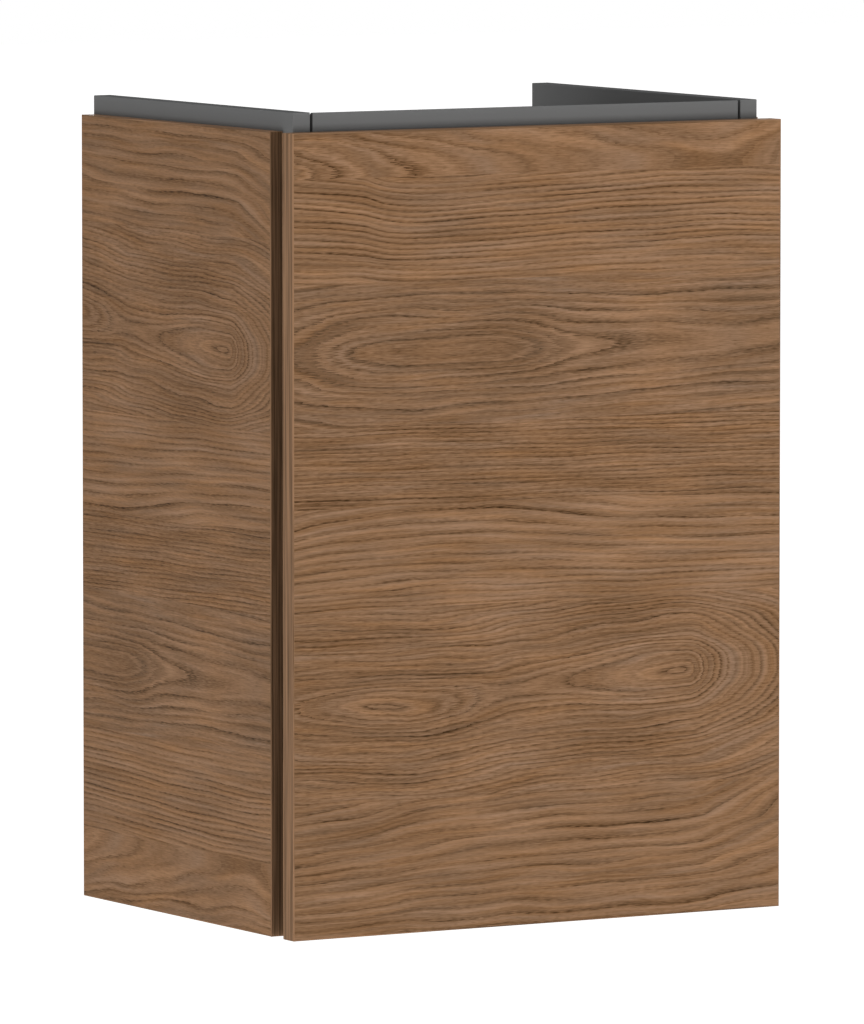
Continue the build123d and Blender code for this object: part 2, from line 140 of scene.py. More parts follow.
def makeFloor():
    bpy.ops.object.select_all(action="DESELECT")
    low = cadBox[0].z - studio["floorDrop"]
    bpy.ops.mesh.primitive_plane_add(size=studio["floorSize"], location=(0, 0, low))
    floor = bpy.context.active_object
    floor.name = "studioFloor"
    material = bpy.data.materials.new("studioFloorPaint")
    material.use_nodes = True
    tree = material.node_tree
    paint = tree.nodes["Principled BSDF"]
    paint.inputs["Base Color"].default_value = studio["floorColour"]
    paint.inputs["Roughness"].default_value = studio["floorRoughness"]
    paint.inputs["Specular IOR Level"].default_value = studio["floorSpecular"]
    paint.inputs["Emission Color"].default_value = (1, 1, 1, 1)
    glow = tree.nodes.new("ShaderNodeMath")
    glow.operation = "MULTIPLY"
    glow.inputs[1].default_value = studio["floorGlow"]
    tree.links.new(seenByEye(tree), glow.inputs[0])
    tree.links.new(glow.outputs[0], paint.inputs["Emission Strength"])
    floor.data.materials.append(material)


makeCamera()
makeWorld()
for lampName in ("frontBox", "sideBox", "topBox", "backBox"):
    makeLamp(lampName, *studio[lampName])
makeFloor()
bpy.context.scene.view_settings.view_transform = "Standard"
print("camera, lamps and floor are in place")


# Node wiring shared by the materials

# Adds nodes to one tree and joins them by value
class Wires:

    def __init__(self, tree):
        self.tree = tree

    def plug(self, socket, value):
        if isinstance(value, bpy.types.NodeSocket):
            self.tree.links.new(value, socket)
        else:
            socket.default_value = value

    def math(self, operation, a, b=None, c=None):
        node = self.tree.nodes.new("ShaderNodeMath")
        node.operation = operation
        for socket, value in zip(node.inputs, (a, b, c)):
            if value is not None:
                self.plug(socket, value)
        return node.outputs[0]

    def add(self, *values):
        total = values[0]
        for value in values[1:]:
            total = self.math("ADD", total, value)
        return total

    def times(self, a, b):
        return self.math("MULTIPLY", a, b)

    def mix(self, factor, a, b):
        node = self.tree.nodes.new("ShaderNodeMix")
        self.plug(node.inputs[0], factor)
        self.plug(node.inputs[2], a)
        self.plug(node.inputs[3], b)
        return node.outputs[0]

    def mixColour(self, factor, a, b):
        node = self.tree.nodes.new("ShaderNodeMix")
        node.data_type = "RGBA"
        self.plug(node.inputs[0], factor)
        self.plug(node.inputs[6], a)
        self.plug(node.inputs[7], b)
        return node.outputs[2]

    def place(self, x, y, z=0.0):
        node = self.tree.nodes.new("ShaderNodeCombineXYZ")
        for socket, value in zip(node.inputs, (x, y, z)):
            self.plug(socket, value)
        return node.outputs[0]

    def apart(self, vector):
        node = self.tree.nodes.new("ShaderNodeSeparateXYZ")
        self.plug(node.inputs[0], vector)
        return node.outputs

    # one colour, made lighter and darker by a level
    def shaded(self, level, colour):
        node = self.tree.nodes.new("ShaderNodeCombineColor")
        for socket, value in zip(node.inputs, linear(*colour)):
            self.plug(socket, self.times(level, value))
        return node.outputs[0]

    # spreads evenly round 0
    def noise(self, vector, scale=1.0, detail=0.0, gain=1.0):
        node = self.tree.nodes.new("ShaderNodeTexNoise")
        self.plug(node.inputs["Vector"], vector)
        node.inputs["Scale"].default_value = scale
        node.inputs["Detail"].default_value = detail
        return self.math("MULTIPLY_ADD", node.outputs["Fac"], gain, -0.5 * gain)

    # noise in patches of a length and a width
    def stretched(self, u, v, alongSize, acrossSize, seed, gain):
        vector = self.place(self.times(u, 1 / alongSize), self.times(v, 1 / acrossSize), seed)
        return self.noise(vector, gain=gain)

    # the sum of several, each (length, width, seed, gain)
    def layers(self, u, v, sizes):
        return self.add(*[self.stretched(u, v, along, across, seed, gain * noiseGain)
                          for along, across, seed, gain in sizes])

    # a number from 0 to 1 for each whole number
    def chance(self, number, seed):
        node = self.tree.nodes.new("ShaderNodeTexWhiteNoise")
        node.noise_dimensions = "1D"
        self.plug(node.inputs["W"], self.math("ADD", number, seed))
        return node.outputs["Value"]

    # follows points (x, y)
    def curve(self, x, points):
        xs, ys = [p[0] for p in points], [p[1] for p in points]
        wide, low, tall = xs[-1] - xs[0], min(ys), (max(ys) - min(ys)) or 1.0
        node = self.tree.nodes.new("ShaderNodeFloatCurve")
        line = node.mapping.curves[0]
        while len(line.points) < len(points):
            line.points.new(0.5, 0.5)
        for point, (px, py) in zip(line.points, points):
            point.location = ((px - xs[0]) / wide, (py - low) / tall)
        node.mapping.update()
        self.plug(node.inputs["Value"], self.math("MULTIPLY_ADD", x, 1 / wide, -xs[0] / wide))
        return self.math("MULTIPLY_ADD", node.outputs[0], tall, low)


noiseGain = 2.0      # brings the noise up to the spread that the figure was drawn with


# Screen colour, 0 to 255, to the shader's own scale
def linear(*colour):
    return tuple(((c / 255 + 0.055) / 1.055) ** 2.4 for c in colour) + (1,)


def newMaterial(name):
    material = bpy.data.materials.new(name)
    material.use_nodes = True
    return material, Wires(material.node_tree), material.node_tree.nodes["Principled BSDF"]


def objectPlace(wires):
    return wires.tree.nodes.new("ShaderNodeTexCoord").outputs["Object"]


def bump(wires, shader, height, distance, strength):
    node = wires.tree.nodes.new("ShaderNodeBump")
    node.inputs["Strength"].default_value = strength
    node.inputs["Distance"].default_value = distance
    wires.plug(node.inputs["Height"], height)
    wires.plug(shader.inputs["Normal"], node.outputs["Normal"])


# Walnut decor: one veneer sheet of seven strips, in millimetres, u along the grain and v across it.
# heart is the line that a strip's rings close around, depth how far below the face the heart runs at
# each u, and bend how far the rings swerve there. They swerve in full at bendMiddle, and less by the
# share of bendReach that they lie below it. Rings lie spacing apart, wider by growth for each ring.

walnut = {
    "base": (133.5, 101, 73.5),
    "roughness": 0.46,
    "specular": 0.03,
    "relief": (0.00012, 0.5),           # bump distance and strength
    # noises: length, width, seed, gain
    "warp": [(70, 16, 1.0, 5.0), (26, 7, 2.0, 0.8), (7, 2.2, 3.0, 0.45)],
    "teeth": [(16, 1.0, 14.0, 9.0)],    # fray the ends of the ovals
    "fray": [(0, 1), (270, 1), (340, 0.2), (434, 0.2)],     # how much, along u: the knot is clean
    "fading": (60, 0.27, 0.9),          # of a line along its way: length, width, gain
    "fadingLevel": 0.95,
    "faintest": 0.1,
    "sharpRise": 0.45,                  # of a line's dark side, as a share of its width
    "softShade": (0.45, 0.35),          # reach as a share of the spacing, and what is taken off
    "dashes": [(6, 0.8, 5.0, 1.0)],
    "streaks": [(24, 1.1, 6.0, 1.0), (8, 0.75, 7.0, 1.2)],
    "middle": [(110, 3.4, 11.0, 1.0), (60, 1.6, 12.0, 0.7)],
    "pores": [(5.0, 0.7, 8.0, 1.0)],
    "poreLeast": 0.14,
    "broad": [(120, 14, 9.0, 1.0)],
    "hue": [(90, 8, 10.0, 2.2), (40, 2.5, 13.0, 1.6)],
    # the rings' lines, and the finer ones between them: width as a share of the spacing, darkness of
    # the weakest, how much is sharp and how much soft, and how many fine ones to a ring
    "ringLine": {"width": 0.28, "least": 0.4, "sharp": 0.5, "soft": 0.7, "dashed": 1.1},
    "fineLine": {"width": 0.3, "least": 0.1, "sharp": 0.6, "soft": 0.3, "each": 3.0, "offset": 0.35},
    # how much each of them lightens the wood
    "level": 1.071,
    "amounts": {"ring": -0.385, "between": -0.17, "streaks": 0.085, "middle": 0.16, "broad": 0.14,
                "along": 0.00013, "pores": -0.30},
    "darkest": 0.3,
    "lightest": 1.6,
    "deepening": (1.6, 1.79, 2.2),      # dark wood is richer: powers for red, green and blue
    "hueShift": (-0.033, 0.06),         # on red and on blue
    "strips": [
        {"from": -40, "heart": -300, "spacing": 6.2, "growth": 0.008, "line": 1.35, "fine": 0.6,
         "tone": -0.01, "grey": 0.3, "wander": 0.8, "bendMiddle": 60, "bendReach": 70,
         "bend": [(0, -17), (60, -12), (100, -7), (160, -2), (220, 0), (300, 0), (350, 1.5), (380, 7),
                  (400, 12), (434, 22)],
         "depth": []},
        {"from": 102, "heart": 190, "spacing": 3.4, "growth": 0.001, "line": 1.3, "fine": 1.0, "tone": -0.02,
         "grey": 0.4, "wander": 0.8, "bendMiddle": 190, "bendReach": 1e6,
         "bend": [(0, -12), (92, -15), (150, -14), (200, -8), (300, -2), (360, 0), (434, 0)],
         "depth": [(0, 14), (20, 10), (45, 6), (80, 3), (115, 6), (150, 11), (180, 16), (215, 16), (250, 13),
                   (290, 8), (325, 4), (345, 3), (357, 8), (366, 15), (383, 25.5), (413, 39.5), (434, 49)]},
        {"from": 249, "heart": 240, "spacing": 3.0, "growth": 0.085, "line": 1.3, "fine": 0.6, "tone": 0.035,
         "grey": 0.3, "wander": 0.45, "bendMiddle": 305, "bendReach": 65,
         "bend": [(0, -8), (50, -2), (110, 1), (160, 1), (210, -2), (260, -7), (340, -13), (434, -16)],
         "depth": []},
        {"from": 327, "heart": 0, "spacing": 2.9, "growth": 0.001, "line": 1.25, "fine": 1.1, "tone": -0.03,
         "grey": 0.2, "wander": 0.35, "bendMiddle": 350, "bendReach": 1e6,
         "bend": [(0, 3), (200, 0), (434, -4)],
         "depth": []},
        {"from": 388, "heart": 444, "spacing": 5.0, "growth": 0.015, "line": 1.1, "fine": 0.9, "tone": -0.01,
         "grey": 0.8, "wander": 0.7, "bendMiddle": 444, "bendReach": 1e6,
         "bend": [(0, 0), (148, 0), (300, 0), (434, 4)],
         "depth": [(0, 26), (10, 24), (25, 19), (40, 13.5), (62, 8), (100, 4), (148, 3), (180, 5), (205, 8.5),
                   (225, 13), (240, 17), (270, 20), (300, 21), (360, 22.5), (434, 24)]},
        {"from": 497, "heart": 440, "spacing": 4.3, "growth": 0.001, "line": 1.4, "fine": 0.6, "tone": 0.035,
         "grey": 0.2, "wander": 0.4, "bendMiddle": 560, "bendReach": 120,
         "bend": [(0, 6), (60, 0), (120, -8), (180, -6), (240, -3.5), (300, -1), (360, 0), (434, -2)],
         "depth": []},
        {"from": 577, "heart": 580, "spacing": 5.4, "growth": 0.001, "line": 1.1, "fine": 0.8, "tone": 0.015,
         "grey": 0.15, "wander": 1.5, "bendMiddle": 580, "bendReach": 1e6,
         "bend": [(0, 0), (434, 0)],
         "depth": [(0, 4), (13, 9.6), (45, 17.8), (85, 24.5), (133, 30.6), (205, 38), (300, 46), (380, 50),
                   (405, 48), (434, 42)]},
    ],
}


# The value of the strip that a point lies in
def stripValues(wires, masks, values):
    total = values[0]
    for mask, value in zip(masks, values[1:]):
        total = wires.mix(mask, total, value)
    return total


# How dark the ring lines are: sharp on one side and fading away on the other
def ringLines(w, count, u, seed, look):
    whole = w.math("FLOOR", count)
    part = w.math("SUBTRACT", count, whole)
    strength = w.math("MULTIPLY_ADD", w.chance(whole, seed), 1 - look["least"], look["least"])
    length, width, gain = walnut["fading"]
    fading = w.math("ADD", w.layers(u, whole, [(length, width, seed, gain)]), walnut["fadingLevel"])
    fading = w.math("MAXIMUM", fading, walnut["faintest"])
    after = look["width"]
    before = after * walnut["sharpRise"]
    sharp = w.add(w.math("EXPONENT", w.times(part, -1 / after)),
                  w.math("EXPONENT", w.math("MULTIPLY_ADD", part, 1 / before, -1 / before)))
    reach, less = walnut["softShade"]
    soft = w.math("SUBTRACT", w.math("EXPONENT", w.times(part, -1 / reach)), less)
    darkness = w.add(w.times(sharp, look["sharp"]), w.times(soft, look["soft"]))
    return w.times(w.times(strength, fading), darkness)


def walnutSheet():
    group = bpy.data.node_groups.new("walnutSheet", "ShaderNodeTree")
    for name in ("Along", "Across"):
        group.interface.new_socket(name, in_out="INPUT", socket_type="NodeSocketFloat")
    for name, kind in (("Color", "NodeSocketColor"), ("Height", "NodeSocketFloat"),
                       ("Rough", "NodeSocketFloat")):
        group.interface.new_socket(name, in_out="OUTPUT", socket_type=kind)
    inside, outside = group.nodes.new("NodeGroupInput"), group.nodes.new("NodeGroupOutput")
    w = Wires(group)
    u, v = inside.outputs[0], inside.outputs[1]
    strips = walnut["strips"]
    masks = [w.math("GREATER_THAN", v, strip["from"]) for strip in strips[1:]]

    def each(key):
        return stripValues(w, masks, [strip[key] for strip in strips])

    # Where the rings run
    warp = w.times(w.layers(u, v, walnut["warp"]), each("wander"))
    bend = stripValues(w, masks, [w.curve(u, strip["bend"]) for strip in strips])
    teeth = w.math("MULTIPLY_ADD", w.layers(u, v, walnut["teeth"]), w.curve(u, walnut["fray"]), u)
    depth = stripValues(w, masks, [w.curve(teeth, strip["depth"]) if strip["depth"] else 0.0
                                   for strip in strips])
    reach = w.math("DIVIDE", w.math("SUBTRACT", v, each("bendMiddle")), each("bendReach"))
    reach = w.math("ADD", reach, 1.0)
    rise = w.math("SUBTRACT", w.add(v, warp), w.add(each("heart"), w.times(bend, reach)))
    away = w.math("SQRT", w.add(w.times(rise, rise), w.times(depth, depth)))
    growth = each("growth")
    rings = w.math("MULTIPLY_ADD", w.math("DIVIDE", away, each("spacing")), growth, 1.0)
    rings = w.math("DIVIDE", w.math("LOGARITHM", rings, math.e), growth)
    number = stripValues(w, masks, [float(k) for k in range(len(strips))])
    rings = w.math("MULTIPLY_ADD", number, 100.0, rings)        # no two strips share a ring's number
    across = w.math("MULTIPLY_ADD", number, 37.7, away)         # follows the rings, as the streaks do

    # Darkness
    fine, grey = each("fine"), each("grey")
    look = walnut["ringLine"]
    dashes = w.layers(u, v, walnut["dashes"])
    ring = w.times(ringLines(w, rings, u, 1.0, look), w.math("MULTIPLY_ADD", dashes, look["dashed"], 1.0))
    look = walnut["fineLine"]
    between = ringLines(w, w.math("MULTIPLY_ADD", rings, look["each"], look["offset"]), u, 2.0, look)
    streaks = w.layers(u, v, walnut["streaks"])
    pores = w.math("SUBTRACT", w.layers(u, v, walnut["pores"]), walnut["poreLeast"])
    pores = w.math("MAXIMUM", pores, 0.0)
    shades = {
        "ring": w.times(ring, each("line")),
        "between": w.times(between, fine),
        "streaks": w.times(streaks, w.math("ADD", fine, 0.5)),
        "middle": w.layers(u, across, walnut["middle"]),
        "broad": w.layers(u, across, walnut["broad"]),
        "along": w.math("SUBTRACT", u, 217.0),      # lighter towards the door's right
        "pores": w.times(pores, w.math("MULTIPLY_ADD", fine, 0.6, 0.4)),
    }
    light = w.math("ADD", each("tone"), walnut["level"])
    for key, amount in walnut["amounts"].items():
        light = w.math("MULTIPLY_ADD", shades[key], amount, light)
    light = w.math("MINIMUM", w.math("MAXIMUM", light, walnut["darkest"]), walnut["lightest"])

    # Colour: the rings of some strips turn grey
    hue = w.math("MULTIPLY_ADD", w.times(ring, grey), 1.6, w.layers(u, across, walnut["hue"]))
    hue = w.add(hue, w.math("MULTIPLY_ADD", grey, 1.2, -0.42))
    redShift, blueShift = walnut["hueShift"]
    shifts = (w.math("MULTIPLY_ADD", hue, redShift, 1.0), 1.0, w.math("MULTIPLY_ADD", hue, blueShift, 1.0))
    colour = group.nodes.new("ShaderNodeCombineColor")
    for socket, power, value, shift in zip(colour.inputs, walnut["deepening"], linear(*walnut["base"]),
                                           shifts):
        w.plug(socket, w.times(w.times(w.math("POWER", light, power), value), shift))
    w.plug(outside.inputs[0], colour.outputs[0])
    w.plug(outside.inputs[1], w.add(w.times(streaks, 0.5), w.times(pores, -2.0), w.times(ring, -0.3)))
    w.plug(outside.inputs[2], w.math("MULTIPLY_ADD", streaks, 0.05, walnut["roughness"]))
    return group


walnutGroup = walnutSheet()


def walnutMaterial(name, along, across):
    material, w, shader = newMaterial(name)
    axes = w.apart(objectPlace(w))
    sheet = w.tree.nodes.new("ShaderNodeGroup")
    sheet.node_tree = walnutGroup
    for socket, (axis, factor, offset) in zip(sheet.inputs, (along, across)):
        w.plug(socket, w.math("MULTIPLY_ADD", axes["XYZ".index(axis)], factor / mm, offset))
    w.plug(shader.inputs["Base Color"], sheet.outputs["Color"])
    w.plug(shader.inputs["Roughness"], sheet.outputs["Rough"])
    shader.inputs["Specular IOR Level"].default_value = walnut["specular"]
    bump(w, shader, sheet.outputs["Height"], *walnut["relief"])
    return material


# Where each panel is cut from the sheet: for u and for v, the axis, its direction and the offset.
# The left panel's sheet is turned over.
underside = cadBox[0].z / mm
walnutFront = walnutMaterial("walnutFront", ("X", 1, 217.0), ("Z", 1, -underside))
walnutLeft = walnutMaterial("walnutLeft", ("Y", -1, 116.7), ("Z", -1, 631.6 + underside))
walnutRight = walnutMaterial("walnutRight", ("Y", -1, 52.0), ("Z", 1, 21.0 - underside))


edgeBand = {
    "light": (150, 115, 86),
    "dark": (101, 76, 54),
    "coarse": [(140, 1.5, 1.0, 1.0)],       # streaks: length, width, seed, gain
    "fine": [(28, 0.5, 2.0, 1.0)],
    "darkness": (0.42, 1.3, 0.5),           # plain, by coarse streaks and by fine ones
    "roughness": 0.5,
    "specular": 0.05,
    "relief": (0.00008, 0.5),
}


def bandMaterial(name, along, acrossAxes):
    material, w, shader = newMaterial(name)
    axes = w.apart(objectPlace(w))
    u = w.times(axes["XYZ".index(along)], 1 / mm)
    v = w.times(w.add(*[axes["XYZ".index(axis)] for axis in acrossAxes]), 1 / mm)
    plain, coarse, fine = edgeBand["darkness"]
    fineStreaks = w.layers(u, v, edgeBand["fine"])
    dark = w.math("MULTIPLY_ADD", w.layers(u, v, edgeBand["coarse"]), coarse, plain)
    dark = w.math("MULTIPLY_ADD", fineStreaks, fine, dark)
    dark = w.math("MINIMUM", w.math("MAXIMUM", dark, 0.0), 1.0)
    tone = w.mixColour(dark, linear(*edgeBand["light"]), linear(*edgeBand["dark"]))
    w.plug(shader.inputs["Base Color"], tone)
    shader.inputs["Roughness"].default_value = edgeBand["roughness"]
    shader.inputs["Specular IOR Level"].default_value = edgeBand["specular"]
    bump(w, shader, fineStreaks, *edgeBand["relief"])
    return material


bandUpright = bandMaterial("bandUpright", "Z", ("X", "Y"))
bandAcross = bandMaterial("bandAcross", "X", ("Y", "Z"))
bandDeep = bandMaterial("bandDeep", "Y", ("X", "Z"))


slate = {
    "colour": (113, 113.5, 113.5),
    "cloud": (14.0, 0.05),          # scale and strength
    "grit": (2600.0, 0.08),
    "roughness": (0.42, 0.2),       # plain, and by the grit
    "specular": 0.0,                # dead matt, or its top edges shine at the camera's low angle
    "relief": (0.00003, 0.6),
}


def slateMaterial():
    material, w, shader = newMaterial("slateMelamine")
    place = objectPlace(w)
    (cloudScale, cloud), (gritScale, gritty) = slate["cloud"], slate["grit"]
    grit = w.noise(place, gritScale, 1.0)
    level = w.math("MULTIPLY_ADD", w.noise(place, cloudScale, 3.0), cloud, 1.0)
    level = w.math("MULTIPLY_ADD", grit, gritty, level)
    plain, rough = slate["roughness"]
    w.plug(shader.inputs["Base Color"], w.shaded(level, slate["colour"]))
    w.plug(shader.inputs["Roughness"], w.math("MULTIPLY_ADD", grit, rough, plain))
    shader.inputs["Specular IOR Level"].default_value = slate["specular"]
    bump(w, shader, grit, *slate["relief"])
    return material


slateBoard = slateMaterial()


# Plated steel, rolled along Z, with a faint cloud in its shine
def metalMaterial(name, colour, roughness, grain):
    material, w, shader = newMaterial(name)
    place = objectPlace(w)
    axes = w.apart(place)
    rolled = w.noise(w.place(*[w.times(axis, scale) for axis, scale in zip(axes, (900.0, 900.0, 90.0))]))
    cloud = w.noise(place, 60.0, 3.0)
    w.plug(shader.inputs["Base Color"], w.shaded(w.math("MULTIPLY_ADD", cloud, 0.35, 1.0), colour))
    shader.inputs["Metallic"].default_value = 1.0
    w.plug(shader.inputs["Roughness"], w.math("MULTIPLY_ADD", w.add(rolled, cloud), grain, roughness))
    bump(w, shader, rolled, 0.00002, 0.5)
    return material


nickel = metalMaterial("nickelPlate", (190, 187, 180), 0.26, 0.2)
zinc = metalMaterial("zincPlate", (168, 170, 172), 0.38, 0.4)


def glassMaterial():
    material, w, shader = newMaterial("shelfGlass")
    shader.inputs["Base Color"].default_value = (0.93, 0.98, 0.96, 1)
    shader.inputs["Transmission Weight"].default_value = 1.0
    shader.inputs["IOR"].default_value = 1.52
    film = w.noise(objectPlace(w), 35.0, 2.0)
    w.plug(shader.inputs["Roughness"], w.math("MULTIPLY_ADD", film, 0.02, 0.02))
    return material


def bumperMaterial():
    material, w, shader = newMaterial("frostedBumper")
    haze = w.noise(objectPlace(w), 900.0, 2.0)
    tone = w.mixColour(w.math("ADD", haze, 0.5), (0.62, 0.63, 0.61, 1), (0.74, 0.75, 0.73, 1))
    w.plug(shader.inputs["Base Color"], tone)
    w.plug(shader.inputs["Roughness"], w.math("MULTIPLY_ADD", haze, 0.2, 0.4))
    shader.inputs["Transmission Weight"].default_value = 0.35
    return material


def beechMaterial():
    material, w, shader = newMaterial("beechDowel")
    axes = w.apart(objectPlace(w))
    stretch = w.place(*[w.times(axis, scale) for axis, scale in zip(axes, (60.0, 1500.0, 1500.0))])
    fibres = w.noise(stretch, 1.0, 2.0)
    tone = w.mixColour(w.math("ADD", fibres, 0.5), linear(196, 158, 112), linear(222, 190, 148))
    w.plug(shader.inputs["Base Color"], tone)
    shader.inputs["Roughness"].default_value = 0.7
    bump(w, shader, fibres, 0.0001, 0.6)
    return material


# Raw chipboard, seen on the edges that face the wall
def chipboardMaterial():
    material, w, shader = newMaterial("rawChipboard")
    place = objectPlace(w)
    chips = w.noise(place, 420.0, 3.0, 2.0)
    specks = w.noise(place, 1500.0, 1.0, 2.0)
    tone = w.mixColour(w.math("ADD", chips, 0.5), linear(176, 146, 104), linear(214, 187, 146))
    tone = w.mixColour(w.math("MULTIPLY_ADD", specks, 0.5, 0.2), tone, linear(120, 92, 62))
    w.plug(shader.inputs["Base Color"], tone)
    shader.inputs["Roughness"].default_value = 0.85
    shader.inputs["Specular IOR Level"].default_value = 0.1
    bump(w, shader, w.add(chips, specks), 0.0004, 0.7)
    return material


chipboard = chipboardMaterial()
shelfGlass, frostedBumper, beech = glassMaterial(), bumperMaterial(), beechMaterial()
print("materials made")


# Modelling helpers. An operator acts on all that is selected, so each one selects first.

# Millimetres from the cabinet's middle, the wall and its underside
def at(x, y, z):
    return Vector((x * mm, y * mm, z * mm + cadBox[0].z))


def alone(piece):
    bpy.ops.object.select_all(action="DESELECT")
    piece.select_set(True)
    bpy.context.view_layer.objects.active = piece


def settle():
    bpy.ops.object.transform_apply(location=True, rotation=True, scale=True)
    return bpy.context.active_object


def block(x, y, z):
    low, high = at(x[0], y[0], z[0]), at(x[1], y[1], z[1])
    bpy.ops.object.select_all(action="DESELECT")
    bpy.ops.mesh.primitive_cube_add(size=1, location=(low + high) / 2, scale=high - low)
    return settle()


# A block as large as a CAD node
def boxOf(name):
    low, high = [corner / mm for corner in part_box(name)]
    return block((low.x, high.x), (low.y, high.y), (low.z - underside, high.z - underside))


def rod(radius, start, end, tipRadius=None, sides=40):
    low, high = at(*start), at(*end)
    bpy.ops.object.select_all(action="DESELECT")
    bpy.ops.mesh.primitive_cone_add(
        vertices=sides, radius1=radius * mm, radius2=(radius if tipRadius is None else tipRadius) * mm,
        depth=(high - low).length, location=(low + high) / 2,
        rotation=(high - low).to_track_quat("Z", "Y").to_euler())
    return settle()


hair = 1e-5             # metres, near enough to be the same place
wideFace = 6e-5         # square metres, larger than any facet of a rounding


def near(value, place):
    return abs(value - place) < hair


# Selects faces by centre and normal, or edges by their two ends, and starts editing
def choose(piece, faces=None, edges=None):
    alone(piece)
    mesh = piece.data
    for parts in (mesh.vertices, mesh.edges, mesh.polygons):
        parts.foreach_set("select", [False] * len(parts))
    bpy.context.tool_settings.mesh_select_mode = (False, faces is None, faces is not None)
    if faces:
        for face in mesh.polygons:
            face.select = faces(face.center, face.normal)
    else:
        for edge in mesh.edges:
            edge.select = edges(*[mesh.vertices[i].co for i in edge.vertices])
    bpy.ops.object.mode_set(mode="EDIT")


def done():
    bpy.ops.object.mode_set(mode="OBJECT")


def bevelEdges(piece, edges, width, segments=3):
    choose(piece, edges=edges)
    bpy.ops.mesh.bevel(offset=width * mm, segments=segments, affect="EDGES")
    done()


# Rounded arrises shade smoothly, and a board's wide faces stay flat
def smooth(piece, angle=35):
    alone(piece)
    bpy.ops.object.shade_smooth_by_angle(angle=math.radians(angle))
    for face in piece.data.polygons:
        if face.area > wideFace:
            face.use_smooth = False


# Takes the sharpness off every arris
def soften(piece, width, segments=2, angle=35):
    alone(piece)
    arris = piece.modifiers.new("arris", "BEVEL")
    arris.width, arris.segments = width * mm, segments
    arris.limit_method, arris.angle_limit = "ANGLE", math.radians(angle)
    bpy.ops.object.modifier_apply(modifier=arris.name)
    smooth(piece)


def cutAway(piece, *cutters):
    for cutter in cutters:
        alone(piece)
        cut = piece.modifiers.new("cut", "BOOLEAN")
        cut.operation, cut.solver, cut.object = "DIFFERENCE", "EXACT", cutter
        bpy.ops.object.modifier_apply(modifier=cut.name)
        bpy.data.objects.remove(cutter)


def joined(pieces):
    bpy.ops.object.select_all(action="DESELECT")
    for piece in pieces:
        piece.select_set(True)
    bpy.context.view_layer.objects.active = pieces[0]
    if len(pieces) > 1:
        bpy.ops.object.join()
    return pieces[0]


# A round piece from its foot up: (height, radius) for each ring, made at the origin along +Z
def turned(rings, sides=40):
    (foot, first), (height, radius) = rings[:2]
    bpy.ops.object.select_all(action="DESELECT")
    bpy.ops.mesh.primitive_cone_add(vertices=sides, radius1=first * mm, radius2=radius * mm,
                                    depth=(height - foot) * mm, location=(0, 0, (foot + height) / 2 * mm))
    piece = settle()
    choose(piece, faces=lambda centre, normal: normal.z > 0.99)
    for nextHeight, nextRadius in rings[2:]:
        bpy.ops.mesh.extrude_region_move(TRANSFORM_OT_translate={"value": (0, 0, (nextHeight - height) * mm)})
        share = nextRadius / radius
        bpy.ops.transform.resize(value=(share, share, 1))
        height, radius = nextHeight, nextRadius
    bpy.ops.mesh.select_all(action="SELECT")
    bpy.ops.mesh.normals_make_consistent(inside=False)
    done()
    return piece


# A copy with its own mesh, its +Z turned to a direction and its origin set on a point
def placed(piece, point, direction):
    copy = piece.copy()
    copy.data = piece.data.copy()
    bpy.context.scene.collection.objects.link(copy)
    alone(copy)
    copy.rotation_mode = "QUATERNION"
    copy.rotation_quaternion = Vector(direction).to_track_quat("Z", "Y")
    copy.location = at(*point)
    return settle()


# Draws back what a bevel has pushed past a box
def keepInside(piece, box):
    for vertex in piece.data.vertices:
        vertex.co = [min(max(value, low), high) for value, low, high in zip(vertex.co, *box)]


# A CAD node's own shape with its arrises taken off
def softCopy(name, width, segments=2):
    piece = nodes[name].copy()
    piece.data = nodes[name].data.copy()
    bpy.context.scene.collection.objects.link(piece)
    piece.hide_render = False
    alone(piece)
    bpy.ops.object.mode_set(mode="EDIT")
    bpy.ops.mesh.select_all(action="SELECT")
    bpy.ops.mesh.remove_doubles(threshold=1e-6)
    bpy.ops.mesh.dissolve_limited(angle_limit=math.radians(1))
    done()
    soften(piece, width, segments, 40)
    keepInside(piece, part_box(name))
    return piece


# Names a finished piece, gives it a finish unless it has its own, and sets it in place of its CAD node
def dress(piece, name, body, finish, node):
    piece.name = piece.data.name = name
    keepInside(piece, cadBox)
    if finish:
        piece.data.materials.clear()
        for material in finish if isinstance(finish, list) else [finish]:
            piece.data.materials.append(material)
    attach(piece, body)
    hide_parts(node)


# The second finish of a piece, for some of its faces
def wear(piece, faces):
    for face in piece.data.polygons:
        if faces(face.center, face.normal):
            face.material_index = 1


# Carcass boards

carcass = {
    "outer": 206.3, "inner": 191.3, "front": -313.6, "top": 626.7,
    "board": 15.0,
    "arris": 0.5,
    "groove": (-12.15, -3.85),      # for the back panel, from its front to its rear wall
    "grooveDepth": 5.0,
    "grooveTop": 305.0,
    "camAt": 167.3, "camRadius": 7.5, "camDepth": 12.5,
    "camsInBottom": (-40.0, -280.0),    # from the wall
}


def towardsWall(centre, normal):
    return normal.y > 0.9 and centre.y > -0.0006


def camBore(x, y, z, way):
    depth = carcass["camDepth"]
    reach = [a - w for a, w in zip((x, y, z), way)]
    return rod(carcass["camRadius"], reach, [a + depth * w for a, w in zip((x, y, z), way)])


